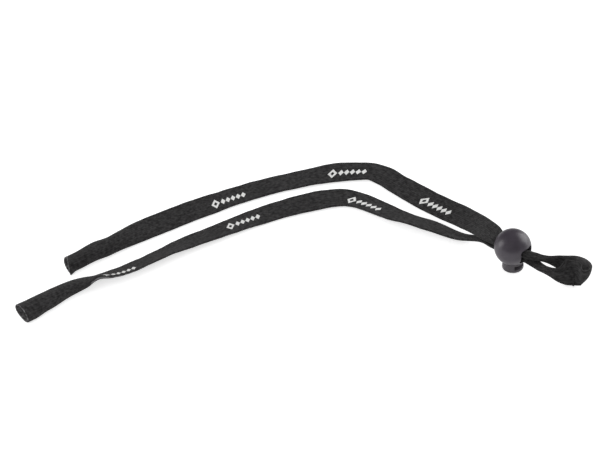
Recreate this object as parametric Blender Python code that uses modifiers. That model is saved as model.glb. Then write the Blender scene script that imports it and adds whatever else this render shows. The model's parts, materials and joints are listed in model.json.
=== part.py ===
"""Eyeglass retainer strap with a ball-shaped cord lock, modelled at its real size.

One length of tubular webbing is folded double.  Its two open ends are the sleeves for the
temples of a pair of glasses, its two legs run through a spring cord lock, one on the other,
and behind the lock the fold makes a small loop.  The lock stands on the foot of its button, and
the webbing lies on the same surface.

Frame: origin at the middle of the button's foot, +X along the sleeves from their mouths
inwards, +Z up.  Units are metres; the tables below are in millimetres and degrees.
"""

from math import copysign, cos, pi, radians, sin, sqrt

import bmesh
import bpy
import numpy as np
from mathutils import Matrix, Vector

MM = 0.001

# ---- driving dimensions, in millimetres -------------------------------------------------

GAP = 0.3                    # clearance left between pieces that touch

WEBBING_WIDTH = 12.5         # the woven tube, pressed flat
WEBBING_WALL = 0.7           # one wall, as it shows at the open mouths

SLEEVE_LENGTH = 60.0         # from a mouth to where the tube is pressed flat
SLEEVE_STRAIGHT = 22.0       # the part of it that holds a temple
SLEEVE_CLOSED = 7.0          # at its inner end the walls lie on each other
MOUTH_1_SIZE = (8.6, 7.4)    # the open oval of each mouth, outside
MOUTH_2_SIZE = (10.6, 6.7)

BALL_RADIUS = 9.3
BALL_CENTRE = 12.65          # its height over the button's foot
BORE_RADIUS = 5.65           # the bore that the button slides in
BALL_WALL = 1.23             # left over the chamber's corner, at the top of the ball
CHAMBER_RADIUS = 4.1         # the narrower chamber above the bore, for the spring
HOLE_HEADING = -71.5         # direction of the webbing's hole, from the legs to the loop
HOLE_WIDTH = 8.4
HOLE_FLOOR = 7.55
HOLE_CORNER = 1.6            # radius of the hole's corners

BUTTON_TRAVEL = 1.8
BUTTON_TOP = 15.2
BUTTON_SLOT_WIDTH = 7.2
BUTTON_SLOT_TOP = 13.4       # at rest it presses the webbing down on the hole's floor
BUTTON_SLOT_FLOOR = 5.0
BUTTON_SLOT_CORNER = 1.2
FOOT_EDGE = 0.7              # rounding of the button's foot
CORE_FLOOR = 1.9             # the hollow in each side of the foot
CORE_CEILING = 3.9
CORE_CHORD = 7.5
CORE_DEPTH = 2.0
BOSS_HEIGHT = 0.9            # boss that centres the spring

RIB_WIDTH = 1.6              # the two ribs that guide the button and keep it in
RIB_HEIGHT = 2.4
RIB_STAND = 0.9              # how far a rib stands out of the button
RIB_FLOOR = 9.6

SPRING_WIRE = 0.5
SPRING_PLAY = 0.35           # round the spring, and between it and the boss
SPRING_TURNS = 3.5
SPRING_DEAD_TURNS = 0.5      # closed turns at each end
SPRING_DEAD_PITCH = 1.15     # their rise a turn, in wires

# ---- what follows from them -------------------------------------------------------------

WEBBING_THICKNESS = 2 * WEBBING_WALL
SLEEVE_HOLLOW = SLEEVE_LENGTH - SLEEVE_CLOSED

BUTTON_RADIUS = BORE_RADIUS - GAP
BORE_CEILING = BUTTON_TOP + BUTTON_TRAVEL + GAP
HOLE_CEILING = BUTTON_SLOT_TOP + BUTTON_TRAVEL       # the openings line up when it is pressed
CHAMBER_CEILING = BALL_CENTRE + sqrt((BALL_RADIUS - BALL_WALL) ** 2 - CHAMBER_RADIUS ** 2)
SPRING_RADIUS = CHAMBER_RADIUS - SPRING_PLAY - SPRING_WIRE / 2       # to the wire's middle
BOSS_RADIUS = SPRING_RADIUS - SPRING_WIRE / 2 - SPRING_PLAY
LOCK_EDGE = BALL_RADIUS + GAP                        # where the webbing leaves the lock

# In the lock the strand of leg 1 lies on that of leg 2, each gathered to this section.
PILE_HEIGHT = BUTTON_SLOT_TOP - HOLE_FLOOR - 2 * GAP
PILE_CENTRE = HOLE_FLOOR + GAP + PILE_HEIGHT / 2
GATHERED_HEIGHT = (PILE_HEIGHT - GAP) / 2
GATHERED_WIDTH = BUTTON_SLOT_WIDTH - 2 * GAP

AXIS = (cos(radians(HOLE_HEADING)), sin(radians(HOLE_HEADING)))

# Half the width and half the thickness of the webbing's two sections.
FLAT = (WEBBING_WIDTH / 2, WEBBING_THICKNESS / 2)
GATHERED = (GATHERED_WIDTH / 2, GATHERED_HEIGHT / 2)

UPPER, LOWER = 1, -1         # the strands of leg 1 and leg 2 in the lock


def in_lock(along, strand):
    """A place of the webbing inside the lock: along its hole, in the upper or lower strand."""
    height = PILE_CENTRE + strand * (GATHERED_HEIGHT + GAP) / 2
    return AXIS[0] * along, AXIS[1] * along, height


# ---- the route of the webbing: x, y, z, roll --------------------------------------------
# Roll turns the webbing about its own length: 0 lies flat, and a positive roll lifts the
# edge on the left of its direction of travel.  The points are laid for webbing of
# LAID_WIDTH: other webbing keeps the edge that faces the other leg, and grows from there.

LAID_WIDTH = 12.5
GROWTH = (WEBBING_WIDTH - LAID_WIDTH) / 2
LEAD_IN = 0.9                # straight run of a leg just outside the lock

LEG_1_ROUTE = [
    (-179.0, 128.0, 4.05, 47), (-168.0, 128.0, 4.05, 47), (-157.0, 128.0, 4.05, 47),
    (-147.0, 128.5, 3.9, 36), (-138.0, 129.3, 3.3, 26), (-125.0, 129.8, 2.45, 16),
    (-109.0, 129.2, 2.0, 12),
    (-94.0, 128.0, 1.7, 9), (-79.0, 126.7, 1.15, 4), (-64.0, 124.2, 0.85, 1),
    (-50.0, 120.7, 0.75, 0), (-37.0, 116.2, 1.1, 3), (-26.0, 111.2, 1.6, 8),
    (-17.2, 106.2, 1.35, 5), (-11.4, 101.8, 1.25, 4), (-8.8, 95.2, 1.6, 8),
    (-7.6, 86.5, 1.7, 9), (-6.0, 75.4, 2.3, 13), (-4.2, 63.8, 3.0, 17),
    (-1.8, 52.8, 3.8, 18), (0.2, 43.4, 4.6, 18), (0.2, 36.8, 6.2, 17),
    (-0.2, 30.5, 8.2, 15), (-0.8, 24.0, 10.0, 11), (-1.5, 17.4, 11.5, 6),
    in_lock(-LOCK_EDGE - LEAD_IN, UPPER) + (1,), in_lock(-5.0, UPPER) + (0,),
    in_lock(-GAP / 2, UPPER) + (0,),
]

LEG_2_ROUTE = [
    (-220.0, 111.8, 3.45, 10), (-209.0, 111.8, 3.45, 10), (-198.0, 111.8, 3.45, 10),
    (-188.0, 112.6, 3.0, -2), (-181.0, 112.4, 3.4, -17), (-175.0, 111.4, 4.4, -36),
    (-169.0, 110.4, 3.7, -28), (-160.0, 109.2, 3.1, -22), (-146.0, 108.7, 3.2, -23),
    (-133.0, 109.1, 2.9, -20), (-120.0, 109.2, 2.3, -14), (-105.0, 108.3, 1.8, -10),
    (-90.0, 107.6, 1.2, -4), (-76.0, 106.2, 0.85, 0), (-62.0, 103.4, 1.2, 4),
    (-50.0, 99.8, 1.6, 8), (-41.0, 96.6, 1.4, 6), (-34.5, 93.2, 1.0, 2),
    (-31.0, 89.0, 0.85, -1), (-28.5, 83.5, 1.0, -3), (-26.0, 76.0, 1.3, -5),
    (-23.5, 67.0, 1.9, -10), (-19.5, 56.5, 2.8, -18), (-15.0, 48.5, 2.5, -16),
    (-10.8, 40.3, 2.4, -17), (-7.6, 32.6, 3.1, -16), (-5.0, 25.2, 5.0, -12),
    (-3.6, 17.4, 7.7, -6), in_lock(-LOCK_EDGE - LEAD_IN, LOWER) + (-1,),
    in_lock(-5.0, LOWER) + (0,), in_lock(-GAP / 2, LOWER) + (0,),
]

# The loop stands on edge.  Its last number is how far the webbing is open: it leaves the
# lock gathered, 0, has its full width, 1, at the fold, and comes back.
LOOP_ROUTE = [
    in_lock(GAP / 2, UPPER) + (90, 0), in_lock(5.0, UPPER) + (90, 0),
    in_lock(LOCK_EDGE, UPPER) + (90, 0), (6.1, -13.1, 11.5, 90, 0.04),
    (10.2, -17.2, 10.3, 88, 0.28), (13.4, -19.6, 9.4, 84, 0.5), (16.6, -22.7, 8.1, 78, 0.8),
    (19.7, -25.9, 6.9, 72, 1), (21.3, -29.7, 6.5, 66, 1), (20.5, -33.2, 6.4, 64, 1),
    (17.8, -34.3, 6.4, 70, 1), (16.3, -30.0, 7.2, 114, 1), (12.2, -27.8, 7.0, 118, 0.82),
    (8.6, -25.2, 7.1, 100, 0.5), (6.6, -21.9, 7.4, 90, 0.24), (5.0, -18.4, 8.0, 88, 0.08),
    (4.0, -14.4, 8.8, 89, 0.02), in_lock(LOCK_EDGE, LOWER) + (90, 0),
    in_lock(5.0, LOWER) + (90, 0), in_lock(GAP / 2, LOWER) + (90, 0),
]

GATHER_LENGTHS = (7.0, 44.0)     # over which each leg narrows to its gathered section
FLAT_POINTS = 16             # round a section of a leg or the loop
SLEEVE_POINTS = 24           # round a section of a sleeve
LEG_STEP = 3.6               # length between two sections
LOOP_STEP = 2.2
HEADING_STEP = 0.2           # half the length over which a route's heading is taken
SPRING_POINTS = 20           # to a turn


# ---- curves and lofts -------------------------------------------------------------------

def ease(value):
    """A smooth step from 0 to 1."""
    value = min(max(value, 0.0), 1.0)
    return value * value * (3 - 2 * value)


def mix(first, second, share):
    return tuple(a + (b - a) * share for a, b in zip(first, second))


class Route:
    """A smooth curve through rows of numbers, of which the first three are a place."""

    def __init__(self, rows, growth):
        self.rows = np.array(rows, float)
        self.growth = growth
        steps = np.linalg.norm(np.diff(self.rows[:, :3], axis=0), axis=1)
        self.knots = np.concatenate([[0.0], np.cumsum(steps)])
        self.slopes = np.gradient(self.rows, self.knots, axis=0)
        self.length = float(self.knots[-1])

    def at(self, distance):
        """The row at a distance along the curve, by a cubic between its two knots."""
        last = len(self.knots) - 2
        i = int(np.clip(np.searchsorted(self.knots, distance) - 1, 0, last))
        span = self.knots[i + 1] - self.knots[i]
        t = (distance - self.knots[i]) / span
        start = (1 + 2 * t) * (1 - t) ** 2
        end = t * t * (3 - 2 * t)
        return (start * self.rows[i] + end * self.rows[i + 1]
                + t * (1 - t) ** 2 * span * self.slopes[i]
                - t * t * (1 - t) * span * self.slopes[i + 1])

    def frame(self, distance):
        """The place, and the unit vectors across the webbing and out of its face."""
        row = self.at(distance)
        before = self.at(max(distance - HEADING_STEP, 0.0))[:3]
        after = self.at(min(distance + HEADING_STEP, self.length))[:3]
        forward = Vector(after - before).normalized()
        left = Vector((0, 0, 1)).cross(forward).normalized()
        above = forward.cross(left)
        roll = radians(row[3])
        across = left * cos(roll) + above * sin(roll)
        return Vector(row[:3]), across, forward.cross(across)

    def distances(self, start, end, step):
        count = max(int(round(abs(end - start) / step)), 1)
        return [start + (end - start) * i / count for i in range(count + 1)]


def section(route, distance, half, opened, squareness, points):
    """One outline across the webbing: an oval, or a flat bar with round edges."""
    place, across, out = route.frame(distance)
    place += across * route.growth * opened
    ring = []
    for i in range(points):
        turn = 2 * pi * (i + 0.5) / points
        u = copysign(abs(cos(turn)) ** squareness, cos(turn))
        v = copysign(abs(sin(turn)) ** squareness, sin(turn))
        ring.append((place + across * half[0] * u + out * half[1] * v) * MM)
    return ring


OVAL = 1.0                   # squareness of an open tube
BAR = 0.5                    # squareness of flat or gathered webbing


def collection(name):
    made = bpy.data.collections.new(name)
    bpy.context.scene.collection.children.link(made)
    return made


def material(name, colour, roughness, metallic=0.0):
    made = bpy.data.materials.new(name)
    made.use_nodes = True
    shader = made.node_tree.nodes["Principled BSDF"]
    shader.inputs["Base Color"].default_value = (*colour, 1)
    shader.inputs["Roughness"].default_value = roughness
    shader.inputs["Metallic"].default_value = metallic
    made.diffuse_color = (*colour, 1)
    return made


def place_object(name, mesh, group, finish=None, origin=(0, 0, 0)):
    """Link a mesh made in world coordinates, with its object's origin at a chosen place."""
    mesh.transform(Matrix.Translation(-Vector(origin)))
    made = bpy.data.objects.new(name, mesh)
    made.location = origin
    group.objects.link(made)
    if finish:
        mesh.materials.append(finish)
    return made


def loft(name, rings, finish):
    """A closed solid through rings of equal count, with a flat cap at both ends."""
    shape = bmesh.new()
    rows = [[shape.verts.new(point) for point in ring] for ring in rings]
    for row, following in zip(rows, rows[1:]):
        for i in range(len(row)):
            j = (i + 1) % len(row)
            shape.faces.new((row[i], row[j], following[j], following[i]))
    shape.faces.new(list(reversed(rows[0])))
    shape.faces.new(rows[-1])
    bmesh.ops.recalc_face_normals(shape, faces=shape.faces)
    mesh = bpy.data.meshes.new(name)
    shape.to_mesh(mesh)
    shape.free()
    mesh.shade_smooth()
    mesh.set_sharp_from_angle(angle=radians(40))
    return place_object(name, mesh, PIECES, finish, rings[0][0])


def new_mesh_object(name, shape, group, finish=None, origin=(0, 0, 0)):
    mesh = bpy.data.meshes.new(name)
    shape.to_mesh(mesh)
    shape.free()
    return place_object(name, mesh, group, finish, origin)


def as_cutter(tool):
    tool.hide_render = True
    tool.display_type = "WIRE"
    return tool


def cutter_block(name, size, centre, heading, corner=0.0):
    """A block, turned about Z, whose edges along its own X can be rounded."""
    shape = bmesh.new()
    bmesh.ops.create_cube(shape, size=1.0)
    bmesh.ops.scale(shape, vec=Vector(size) * MM, verts=shape.verts)
    if corner:
        along = [e for e in shape.edges
                 if abs((e.verts[0].co - e.verts[1].co).x) > 0.5 * size[0] * MM]
        bmesh.ops.bevel(shape, geom=along, offset=corner * MM, segments=5,
                        profile=0.5, affect="EDGES")
    turn = Matrix.Rotation(radians(heading), 4, "Z")
    shape.transform(Matrix.Translation(Vector(centre) * MM) @ turn)
    return as_cutter(new_mesh_object(name, shape, CUTTERS))


def boolean(target, tool, operation="DIFFERENCE"):
    step = target.modifiers.new(tool.name, "BOOLEAN")
    step.operation = operation
    step.solver = "EXACT"
    step.object = tool


def turned(name, outline, group, finish=None, steps=48):
    """A body turned about Z from a profile of (radius, height), given from top to bottom."""
    shape = bmesh.new()
    verts = [shape.verts.new((r * MM, 0, z * MM)) for r, z in outline]
    for first, second in zip(verts, verts[1:]):
        shape.edges.new((first, second))
    made = new_mesh_object(name, shape, group, finish)
    screw = made.modifiers.new("turn", "SCREW")
    screw.steps = steps
    screw.render_steps = steps
    screw.use_merge_vertices = True
    screw.merge_threshold = 0.00001
    screw.use_smooth_shade = True
    return made


# ---- the webbing ------------------------------------------------------------------------

def sleeve_ring(route, distance, mouth, inset):
    """A ring of a sleeve: the mouth's open oval, pressed flat further in."""
    pressed = ease((distance - SLEEVE_STRAIGHT) / (SLEEVE_LENGTH - SLEEVE_STRAIGHT))
    width, height = mix((mouth[0] / 2, mouth[1] / 2), FLAT, pressed)
    squareness = OVAL + (BAR - OVAL) * pressed
    return section(route, distance, (width - inset, height - inset), pressed, squareness,
                   SLEEVE_POINTS)


def leg_ring(route, distance, gather):
    """A ring of a leg: flat webbing, gathered in width where it nears the lock."""
    opened = ease((route.length - distance - LOCK_EDGE) / gather)
    return section(route, distance, mix(GATHERED, FLAT, opened), opened, BAR, FLAT_POINTS)


def loop_ring(route, distance):
    """A ring of the loop on its edge: it grows taller as it opens, and keeps its area."""
    opened = min(max(float(route.at(distance)[4]), 0.0), 1.0)
    bundle, band = GATHERED[0] * GATHERED[1], FLAT[0] * FLAT[1]
    height = GATHERED[1] + (FLAT[0] - GATHERED[1]) * opened
    width = (bundle + (band - bundle) * opened) / height
    return section(route, distance, (height, width), opened, BAR, FLAT_POINTS)


def temple_sleeve(name, route, mouth, finish):
    """An open end of the tube: outside, over the mouth's rim, and back along the inside."""
    outside = route.distances(SLEEVE_LENGTH - GAP / 2, 0.0, LEG_STEP)
    inside = route.distances(0.0, SLEEVE_HOLLOW, LEG_STEP)
    rings = [sleeve_ring(route, distance, mouth, 0.0) for distance in outside]
    rings += [sleeve_ring(route, distance, mouth, WEBBING_WALL) for distance in inside]
    return loft(name, rings, finish)


def strap_leg(name, route, gather, finish):
    distances = route.distances(SLEEVE_LENGTH + GAP / 2, route.length, LEG_STEP)
    return loft(name, [leg_ring(route, distance, gather) for distance in distances], finish)


def strap_loop(name, route, finish):
    distances = route.distances(0.0, route.length, LOOP_STEP)
    return loft(name, [loop_ring(route, distance) for distance in distances], finish)


# ---- the cord lock ----------------------------------------------------------------------

def side_place(radius, height, turn):
    """A place on the lock, at an angle from its hole's direction."""
    heading = radians(HOLE_HEADING + turn)
    return radius * cos(heading), radius * sin(heading), height


def toggle_ball(finish):
    """The barrel: a ball bored from below for the button and pierced for the webbing."""
    shape = bmesh.new()
    bmesh.ops.create_uvsphere(shape, u_segments=40, v_segments=24, radius=BALL_RADIUS * MM)
    shape.transform(Matrix.Translation((0, 0, BALL_CENTRE * MM)))
    ball = new_mesh_object("toggle_ball", shape, PIECES, finish)
    bore = turned("bore_cutter", [(0, CHAMBER_CEILING), (CHAMBER_RADIUS, CHAMBER_CEILING),
                                  (CHAMBER_RADIUS, BORE_CEILING), (BORE_RADIUS, BORE_CEILING),
                                  (BORE_RADIUS, -1.0), (0, -1.0)], CUTTERS)
    boolean(ball, as_cutter(bore))
    hole_height = HOLE_CEILING - HOLE_FLOOR
    hole = cutter_block("hole_cutter", (3 * BALL_RADIUS, HOLE_WIDTH, hole_height),
                        (0, 0, HOLE_FLOOR + hole_height / 2), HOLE_HEADING, HOLE_CORNER)
    boolean(ball, hole)
    groove_height = RIB_HEIGHT + BUTTON_TRAVEL + 2 * GAP
    groove = (2 * (BUTTON_RADIUS + RIB_STAND + GAP), RIB_WIDTH + 2 * GAP, groove_height)
    boolean(ball, cutter_block("groove_cutter", groove,
                               (0, 0, RIB_FLOOR - GAP + groove_height / 2),
                               HOLE_HEADING + 90))
    return ball


def button_profile():
    """The plunger from its boss down to the rounded edge of its foot."""
    edge = [(BUTTON_RADIUS - FOOT_EDGE * (1 - cos(turn)), FOOT_EDGE * (1 - sin(turn)))
            for turn in np.linspace(0, pi / 2, 6)]
    return [(0, BUTTON_TOP + BOSS_HEIGHT), (BOSS_RADIUS, BUTTON_TOP + BOSS_HEIGHT),
            (BOSS_RADIUS, BUTTON_TOP), (BUTTON_RADIUS, BUTTON_TOP), *edge, (0, 0)]


def toggle_button(finish):
    """The plunger, with its cross slot, the hollows of its foot and its two guide ribs."""
    button = turned("toggle_button", button_profile(), PIECES, finish, steps=40)
    rib_reach = BUTTON_RADIUS + RIB_STAND
    ribs = cutter_block("rib_maker", (2 * rib_reach, RIB_WIDTH, RIB_HEIGHT),
                        (0, 0, RIB_FLOOR + RIB_HEIGHT / 2), HOLE_HEADING + 90)
    boolean(button, ribs, "UNION")
    slot_height = BUTTON_SLOT_TOP - BUTTON_SLOT_FLOOR
    boolean(button, cutter_block("slot_cutter", (4 * BUTTON_RADIUS, BUTTON_SLOT_WIDTH, slot_height),
                                 (0, 0, BUTTON_SLOT_FLOOR + slot_height / 2),
                                 HOLE_HEADING, BUTTON_SLOT_CORNER))
    reach = sqrt(BUTTON_RADIUS ** 2 - (CORE_CHORD / 2) ** 2)
    core_height = CORE_CEILING - CORE_FLOOR
    for label, turn in (("loop", 0), ("legs", 180)):
        middle = side_place(reach - CORE_DEPTH + BUTTON_RADIUS / 2,
                            CORE_FLOOR + core_height / 2, turn)
        boolean(button, cutter_block(f"core_cutter_{label}",
                                     (BUTTON_RADIUS, CORE_CHORD, core_height), middle,
                                     HOLE_HEADING + turn))
    return button


def toggle_spring(finish):
    """A compression spring between the button's top and the chamber's ceiling."""
    low = BUTTON_TOP + GAP + SPRING_WIRE / 2
    high = CHAMBER_CEILING - GAP - SPRING_WIRE / 2
    dead_rise = SPRING_WIRE * SPRING_DEAD_PITCH * SPRING_DEAD_TURNS
    count = round(SPRING_TURNS * SPRING_POINTS) + 1
    curve = bpy.data.curves.new("toggle_spring", "CURVE")
    curve.dimensions = "3D"
    curve.bevel_depth = SPRING_WIRE / 2 * MM
    curve.bevel_resolution = 2
    curve.use_fill_caps = True
    line = curve.splines.new("POLY")
    line.points.add(count - 1)
    for i in range(count):
        turns = i / SPRING_POINTS
        live = (turns - SPRING_DEAD_TURNS) / (SPRING_TURNS - 2 * SPRING_DEAD_TURNS)
        if live < 0:
            z = low + dead_rise * turns / SPRING_DEAD_TURNS
        elif live > 1:
            z = high - dead_rise * (SPRING_TURNS - turns) / SPRING_DEAD_TURNS
        else:
            z = low + dead_rise + (high - low - 2 * dead_rise) * live
        turn = 2 * pi * turns
        point = (SPRING_RADIUS * cos(turn), SPRING_RADIUS * sin(turn), z)
        line.points[i].co = (*(Vector(point) * MM), 1)
    curve.materials.append(finish)
    spring = bpy.data.objects.new("toggle_spring", curve)
    PIECES.objects.link(spring)
    return spring


def axis_empty(name, place, direction):
    """An empty on a joint's axis, with its own Z along the joint."""
    empty = bpy.data.objects.new(name, None)
    empty.empty_display_size = 0.01
    empty.location = Vector(place) * MM
    empty.rotation_euler = Vector(direction).to_track_quat("Z", "Y").to_euler()
    PIECES.objects.link(empty)
    return empty


def hang(child, parent):
    """Parent without moving the child."""
    bpy.context.view_layer.update()
    child.parent = parent
    child.matrix_parent_inverse = parent.matrix_world.inverted()


# ---- the whole strap --------------------------------------------------------------------

for old in list(bpy.data.objects):
    bpy.data.objects.remove(old, do_unlink=True)

PIECES = collection("eyeglass_retainer_strap")
CUTTERS = collection("cutters")

black_webbing = material("black webbing", (0.030, 0.028, 0.030), 0.85)
charcoal_plastic = material("charcoal plastic", (0.100, 0.095, 0.105), 0.42)
button_plastic = material("button plastic", (0.085, 0.080, 0.090), 0.45)
spring_steel = material("spring steel", (0.55, 0.55, 0.56), 0.30, 1.0)

leg_1 = Route(LEG_1_ROUTE, GROWTH)
leg_2 = Route(LEG_2_ROUTE, -GROWTH)
temple_sleeve("temple_sleeve_1", leg_1, MOUTH_1_SIZE, black_webbing)
temple_sleeve("temple_sleeve_2", leg_2, MOUTH_2_SIZE, black_webbing)
strap_leg("strap_leg_1", leg_1, GATHER_LENGTHS[0], black_webbing)
strap_leg("strap_leg_2", leg_2, GATHER_LENGTHS[1], black_webbing)
strap_loop("strap_loop", Route(LOOP_ROUTE, GROWTH), black_webbing)

slide = axis_empty("toggle_slide_axis", (0, 0, PILE_CENTRE), (*AXIS, 0))
press = axis_empty("button_press_axis", (0, 0, 0), (0, 0, 1))
hang(press, slide)
hang(toggle_ball(charcoal_plastic), slide)
hang(toggle_spring(spring_steel), slide)
hang(toggle_button(button_plastic), press)
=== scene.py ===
# %% [markdown]
# # An eyeglass retainer strap
# One length of black tubular webbing is folded double. Its two open ends are pushed over the
# temples of a pair of glasses, and a ball-shaped cord lock slides along the two legs to
# tighten the strap. The construction model already fixes every size and place, so this
# script only dresses it: it loads that model as a frame, makes the cloth and the moulded
# parts in finer detail round it, and gives each its finish.

# %% The frame
import json
from math import cos, pi, radians, sin

import bmesh
import bpy
import numpy as np
from mathutils import Matrix, Vector


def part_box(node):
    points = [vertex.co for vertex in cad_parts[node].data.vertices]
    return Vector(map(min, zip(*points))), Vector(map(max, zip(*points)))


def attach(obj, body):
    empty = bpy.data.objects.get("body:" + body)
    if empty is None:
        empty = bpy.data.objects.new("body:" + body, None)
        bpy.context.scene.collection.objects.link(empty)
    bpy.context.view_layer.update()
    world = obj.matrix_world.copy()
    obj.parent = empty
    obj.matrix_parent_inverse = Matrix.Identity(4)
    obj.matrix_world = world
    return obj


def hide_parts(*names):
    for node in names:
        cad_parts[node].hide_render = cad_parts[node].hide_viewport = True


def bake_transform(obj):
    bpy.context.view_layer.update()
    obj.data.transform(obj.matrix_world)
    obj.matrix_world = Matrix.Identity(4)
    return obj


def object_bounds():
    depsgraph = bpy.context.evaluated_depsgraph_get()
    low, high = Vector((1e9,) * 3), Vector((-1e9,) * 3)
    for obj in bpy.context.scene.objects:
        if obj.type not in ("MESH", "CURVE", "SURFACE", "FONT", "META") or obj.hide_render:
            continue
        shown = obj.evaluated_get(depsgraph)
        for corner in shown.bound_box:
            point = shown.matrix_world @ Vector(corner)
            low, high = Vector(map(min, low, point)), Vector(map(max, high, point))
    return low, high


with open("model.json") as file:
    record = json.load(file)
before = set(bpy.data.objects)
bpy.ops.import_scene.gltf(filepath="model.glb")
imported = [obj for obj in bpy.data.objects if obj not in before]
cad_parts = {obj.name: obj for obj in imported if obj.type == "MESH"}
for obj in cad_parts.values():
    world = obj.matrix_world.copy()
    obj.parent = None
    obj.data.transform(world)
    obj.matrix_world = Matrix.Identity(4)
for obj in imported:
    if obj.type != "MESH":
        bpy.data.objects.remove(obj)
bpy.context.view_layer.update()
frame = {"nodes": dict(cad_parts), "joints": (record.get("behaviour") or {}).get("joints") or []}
MM = 0.001

print("nodes:", sorted(frame["nodes"]))

# %% [markdown]
# ## The camera
# The strap is seen from in front and above, turned a little, as a catalogue shows it. It is
# flat and long, so an orthographic camera keeps its two legs the same width from end to
# end. The camera is placed by an azimuth, an elevation and the point that it aims at.

# %% The camera
AZIMUTH, ELEVATION = radians(-36.5), radians(38.0)
VIEW_WIDTH = 0.297                     # what the picture's width covers
AIM = Vector((-0.0646, 0.0898, 0.0))   # a point on the table, between the legs' bend
DISTANCE = 1.0

toward_camera = Vector((sin(AZIMUTH) * cos(ELEVATION), -cos(AZIMUTH) * cos(ELEVATION),
                        sin(ELEVATION)))
camera_data = bpy.data.cameras.new("camera")
camera_data.type = "ORTHO"
camera_data.ortho_scale = VIEW_WIDTH
camera_data.clip_end = 10.0
camera = bpy.data.objects.new("camera", camera_data)
camera.location = AIM + toward_camera * DISTANCE
camera.rotation_euler = toward_camera.to_track_quat("Z", "Y").to_euler()
bpy.context.scene.collection.objects.link(camera)
bpy.context.scene.camera = camera
print("camera at", [round(x, 3) for x in camera.location])

# %% [markdown]
# ## Where the webbing runs
# The strap's path is a list of places: x, y, z and roll, in millimetres and
# degrees, the same that the construction model uses. Roll turns the webbing about its own
# length, and a positive roll lifts the edge on the left of its direction of travel. A cubic
# curve through the places gives a smooth line, which straight runs and arcs would not.

# %% Sizes of the lock that the webbing passes through
GAP = 0.3                              # clearance between pieces that touch
HOLE_WIDTH, HOLE_FLOOR, HOLE_CORNER = 8.4, 7.55, 1.6
SLOT_WIDTH, SLOT_TOP, SLOT_FLOOR, SLOT_CORNER = 7.2, 13.4, 5.0, 1.2
TRAVEL = 1.8                           # how far the button can be pressed

ball_low, ball_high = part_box("toggle_ball")
BALL_RADIUS = (ball_high.x - ball_low.x) / 2 / MM
BALL_CENTRE = ball_high.z / MM - BALL_RADIUS
slide = next(joint for joint in frame["joints"] if joint["name"] == "toggle_slide")
AXIS = Vector(slide["axis"]).normalized()             # along the webbing's hole
LOCK_EDGE = BALL_RADIUS + GAP
print(f"ball {2 * BALL_RADIUS:.1f} mm across, centre {BALL_CENTRE:.2f} mm up, hole along",
      [round(x, 3) for x in AXIS])

# %% Sizes of the webbing
WEBBING_WIDTH, WEBBING_WALL = 12.5, 0.7
PRESSED = 0.5                                         # one wall where the tube is drawn flat
FLAT = (WEBBING_WIDTH / 2, PRESSED)                   # half width and half thickness
PILE_HEIGHT = SLOT_TOP - HOLE_FLOOR - 2 * GAP         # the two strands on each other
PILE_CENTRE = HOLE_FLOOR + GAP + PILE_HEIGHT / 2
GATHERED_HEIGHT = (PILE_HEIGHT - GAP) / 2             # one strand of them
GATHERED_WIDTH = SLOT_WIDTH - 2 * GAP
GATHERED = (GATHERED_WIDTH / 2, GATHERED_HEIGHT / 2)
GATHER_LENGTHS = {1: 7.0, 2: 44.0}                    # over which each leg narrows
UPPER, LOWER = 1, -1                                  # the strands of leg 1 and leg 2
LEAD_IN = 0.9                                         # a leg lines up this far before the lock
SLEEVE_LENGTH, SLEEVE_STRAIGHT, SLEEVE_HOLLOW = 60.0, 22.0, 53.0
MOUTHS = {1: (8.6, 7.4), 2: (10.6, 6.7)}              # the open oval of each mouth
print(f"webbing {WEBBING_WIDTH} mm wide, and {GATHERED_WIDTH:.1f} by {GATHERED_HEIGHT:.2f} mm",
      "where it is gathered")


def in_lock(along, strand, *rest):
    """A place of the webbing inside the lock, in the upper or the lower strand."""
    height = PILE_CENTRE + strand * (GATHERED_HEIGHT + GAP) / 2
    return AXIS.x * along, AXIS.y * along, height, *rest


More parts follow.
